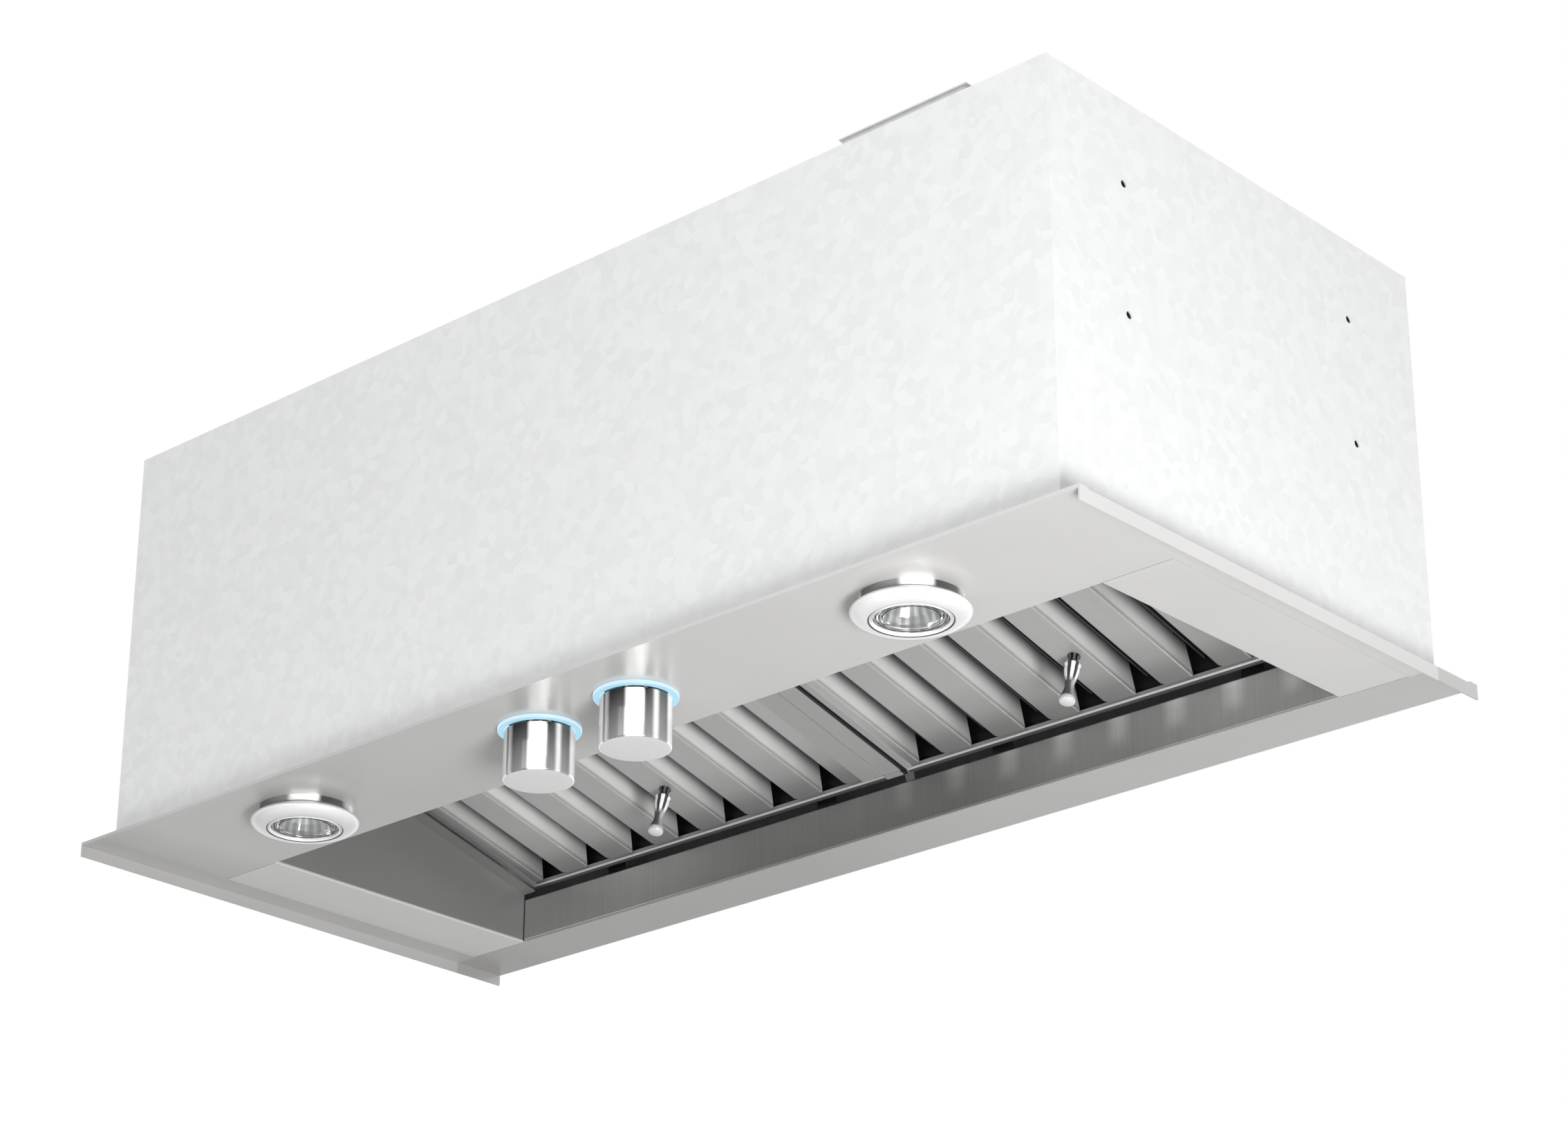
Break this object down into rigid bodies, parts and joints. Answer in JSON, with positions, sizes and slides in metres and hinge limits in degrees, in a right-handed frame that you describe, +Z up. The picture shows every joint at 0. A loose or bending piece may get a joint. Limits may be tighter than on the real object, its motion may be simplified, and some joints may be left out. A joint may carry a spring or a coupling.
{
  "type": "range hood insert",
  "caption": "Built-in range hood insert: flanged steel pan with a sloped recess, two hinged baffle filters, rotary controls with lit rings, drop lamps, blower and duct collar.",
  "frame": {"origin": "centre of the four hanger holes, on the lid's upper face and on the duct collar's axis", "axes": "+X to the right of somebody who stands at the cooktop, +Y away from them towards the wall, +Z up"},
  "size_m": [0.898, 0.41, 0.387],
  "materials": {
    "bottom_pan": "long horizontal brushing",
    "left_side_liner": "brushed",
    "right_side_liner": "brushed",
    "rear_liner": "brushed",
    "control_compartment_cover": "brushed",
    "centre_mullion": "brushed",
    "front_panel": "plain sheet",
    "rear_panel": "plain sheet",
    "left_side_panel": "plain sheet",
    "right_side_panel": "plain sheet",
    "top_cover": "plain sheet",
    "hanger_plates": "plain sheet",
    "filter_pivot_rod": "polished",
    "pivot_brackets": "plain sheet",
    "filter_catches": "spring steel",
    "left_lamp_bezel": "satin chrome",
    "right_lamp_bezel": "satin chrome",
    "left_lamp_ring": "polished",
    "right_lamp_ring": "polished",
    "left_lamp_glass": "clear",
    "right_lamp_glass": "clear",
    "left_lamp_bulb": "faceted reflector",
    "right_lamp_bulb": "faceted reflector",
    "left_lamp_can": "plain sheet",
    "right_lamp_can": "plain sheet",
    "lampholders": "ceramic",
    "fan_halo_ring": "translucent, lit pale blue",
    "light_halo_ring": "translucent, lit pale blue",
    "halo_light_boards": "circuit board",
    "switch_bracket": "plain sheet",
    "fan_speed_switch": "moulded",
    "light_dimmer": "moulded",
    "switch_nuts": "turned",
    "lamp_driver": "moulded",
    "blower_scroll": "galvanised",
    "blower_inlet_rings": "galvanised",
    "blower_motor": "black paint",
    "motor_bracket": "galvanised",
    "duct_collar": "galvanised",
    "damper_pin": "plain",
    "junction_box": "galvanised",
    "junction_box_cover": "galvanised",
    "housing_screws": "zinc plated",
    "left_filter_frame": "brushed",
    "left_filter_lower_baffles": "brushed along the baffle",
    "left_filter_upper_baffles": "brushed",
    "left_filter_pull": "polished",
    "right_filter_frame": "brushed",
    "right_filter_lower_baffles": "brushed along the baffle",
    "right_filter_upper_baffles": "brushed",
    "right_filter_pull": "polished",
    "fan_knob": "polished side, satin end",
    "fan_shaft": "turned",
    "light_knob": "polished side, satin end",
    "light_shaft": "turned",
    "impeller": "sheet",
    "impeller_blades": "sheet",
    "motor_shaft": "ground",
    "front_damper_flap": "sheet",
    "rear_damper_flap": "sheet"
  },
  "bodies": {
    "housing": {"bottom_pan": "bottom_pan", "left_side_liner": "left_side_liner", "right_side_liner": "right_side_liner", "rear_liner": "rear_liner", "control_compartment_cover": "control_compartment_cover", "centre_mullion": "centre_mullion", "front_panel": "front_panel", "rear_panel": "rear_panel", "left_side_panel": "left_side_panel", "right_side_panel": "right_side_panel", "top_cover": "top_cover", "hanger_plates": "hanger_plates", "filter_pivot_rod": "filter_pivot_rod", "pivot_brackets": "pivot_brackets", "filter_catches": "filter_catches", "left_lamp_bezel": "left_lamp_bezel", "right_lamp_bezel": "right_lamp_bezel", "left_lamp_ring": "left_lamp_ring", "right_lamp_ring": "right_lamp_ring", "left_lamp_glass": "left_lamp_glass", "right_lamp_glass": "right_lamp_glass", "left_lamp_bulb": "left_lamp_bulb", "right_lamp_bulb": "right_lamp_bulb", "left_lamp_can": "left_lamp_can", "right_lamp_can": "right_lamp_can", "lampholders": "lampholders", "fan_halo_ring": "fan_halo_ring", "light_halo_ring": "light_halo_ring", "halo_light_boards": "halo_light_boards", "switch_bracket": "switch_bracket", "fan_speed_switch": "fan_speed_switch", "light_dimmer": "light_dimmer", "switch_nuts": "switch_nuts", "lamp_driver": "lamp_driver", "blower_scroll": "blower_scroll", "blower_inlet_rings": "blower_inlet_rings", "blower_motor": "blower_motor", "motor_bracket": "motor_bracket", "duct_collar": "duct_collar", "damper_pin": "damper_pin", "junction_box": "junction_box", "junction_box_cover": "junction_box_cover", "housing_screws": "housing_screws"},
    "left_filter": {"left_filter_frame": "left_filter_frame", "left_filter_lower_baffles": "left_filter_lower_baffles", "left_filter_upper_baffles": "left_filter_upper_baffles", "left_filter_pull": "left_filter_pull"},
    "right_filter": {"right_filter_frame": "right_filter_frame", "right_filter_lower_baffles": "right_filter_lower_baffles", "right_filter_upper_baffles": "right_filter_upper_baffles", "right_filter_pull": "right_filter_pull"},
    "fan_control": {"fan_knob": "fan_knob", "fan_shaft": "fan_shaft"},
    "light_control": {"light_knob": "light_knob", "light_shaft": "light_shaft"},
    "fan_wheel": {"impeller": "impeller", "impeller_blades": "impeller_blades", "motor_shaft": "motor_shaft"},
    "front_flap": {"front_damper_flap": "front_damper_flap"},
    "rear_flap": {"rear_damper_flap": "rear_damper_flap"}
  },
  "joints": [
    {"name": "left_filter_hinge", "type": "hinge", "parent": "housing", "child": "left_filter", "pos_m": [-0.1822, -0.082, -0.18467], "axis": [-1, 0, 0], "range_deg": [0, 60]},
    {"name": "right_filter_hinge", "type": "hinge", "parent": "housing", "child": "right_filter", "pos_m": [0.1936, -0.082, -0.18467], "axis": [-1, 0, 0], "range_deg": [0, 60]},
    {"name": "fan_knob_turn", "type": "hinge", "parent": "housing", "child": "fan_control", "pos_m": [-0.044, -0.147, -0.32], "axis": [0, 0, 1], "range_deg": [0, 240]},
    {"name": "light_knob_turn", "type": "hinge", "parent": "housing", "child": "light_control", "pos_m": [0.044, -0.147, -0.32], "axis": [0, 0, 1], "range_deg": [0, 270]},
    {"name": "fan_wheel_spin", "type": "hinge", "parent": "housing", "child": "fan_wheel", "pos_m": [0, 0.0475, -0.1], "axis": [1, 0, 0], "continuous": true},
    {"name": "front_flap_hinge", "type": "hinge", "parent": "housing", "child": "front_flap", "pos_m": [0, 0, 0.018], "axis": [-1, 0, 0], "range_deg": [0, 75]},
    {"name": "rear_flap_hinge", "type": "hinge", "parent": "housing", "child": "rear_flap", "pos_m": [0, 0, 0.018], "axis": [1, 0, 0], "range_deg": [0, 75]}
  ]
}
